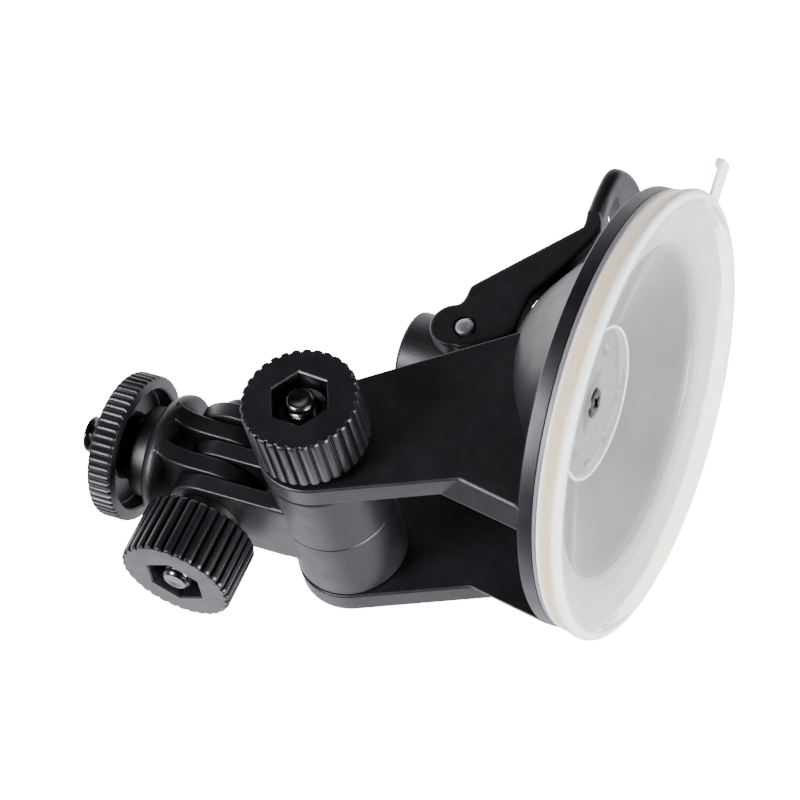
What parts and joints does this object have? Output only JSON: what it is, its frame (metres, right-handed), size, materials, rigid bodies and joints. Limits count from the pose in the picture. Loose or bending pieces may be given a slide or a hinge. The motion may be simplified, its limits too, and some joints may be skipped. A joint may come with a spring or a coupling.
{
  "type": "suction cup camera mount",
  "caption": "Suction-cup windshield mount: clear cup with cam lever, forked base, two-joint arm with lobed knobs, and a tripod stud with a knurled lock wheel.",
  "frame": {"origin": "middle of the circle where the cup's lip meets the window", "axes": "+Z out of the cup towards the camera stud, +X from the cup axis to the side the arm stands on (the lever's tab points to -X), +Y towards the arm knob"},
  "size_m": [0.0959, 0.0768, 0.0911],
  "materials": {
    "clear_pvc": "clear, glossy, slightly yellow at the flange",
    "clear_hard": "clear moulded disc",
    "grey_plastic": "satin",
    "black_plastic": "satin moulded",
    "zinc_steel": "bright zinc plate",
    "dark_steel": "dark plated, threaded"
  },
  "bodies": {
    "base": {"suction_cup": "clear_pvc", "cup_ring": "grey_plastic", "base_housing": "black_plastic", "arm_bolt": "dark_steel", "arm_washer": "black_plastic"},
    "plunger": {"anchor_plate": "clear_hard", "plunger_post": "black_plastic", "plate_screw": "zinc_steel", "lever_pin": "zinc_steel"},
    "lever": {"lever": "black_plastic"},
    "arm": {"arm_link": "black_plastic", "head_bolt": "dark_steel", "head_washer": "zinc_steel"},
    "arm_clamp": {"arm_knob": "black_plastic", "arm_nut": "dark_steel"},
    "head": {"tripod_head": "black_plastic", "tripod_stud": "dark_steel"},
    "head_clamp": {"head_knob": "black_plastic", "head_nut": "dark_steel"},
    "wheel": {"lock_wheel": "black_plastic", "wheel_insert": "dark_steel"}
  },
  "joints": [
    {"name": "plunger_slide", "type": "slide", "parent": "base", "child": "plunger", "axis": [0, 0, 1], "range_m": [-0.003, 0]},
    {"name": "lever_hinge", "type": "hinge", "parent": "plunger", "child": "lever", "pos_m": [0, 0, 0.0315], "axis": [0, 1, 0], "range_deg": [0, 95]},
    {"name": "arm_tilt", "type": "hinge", "parent": "base", "child": "arm", "pos_m": [0.03092, 0, 0.04399], "axis": [0, 1, 0], "range_deg": [-25, 100]},
    {"name": "arm_knob_turn", "type": "hinge", "parent": "base", "child": "arm_clamp", "pos_m": [0.03092, 0, 0.04399], "axis": [0, 1, 0], "continuous": true},
    {"name": "head_tilt", "type": "hinge", "parent": "arm", "child": "head", "pos_m": [0.03092, 0, 0.06384], "axis": [1, 0, 0], "range_deg": [-70, 70]},
    {"name": "head_knob_turn", "type": "hinge", "parent": "arm", "child": "head_clamp", "pos_m": [0.03092, 0, 0.06384], "axis": [1, 0, 0], "continuous": true},
    {"name": "lock_wheel_turn", "type": "hinge", "parent": "head", "child": "wheel", "pos_m": [0.03092, 0, 0.08004], "axis": [0, 0, 1], "continuous": true}
  ],
  "couplings": [
    {"joint": "lever_hinge", "follows": "plunger_slide", "rad_per_m": -550}
  ]
}
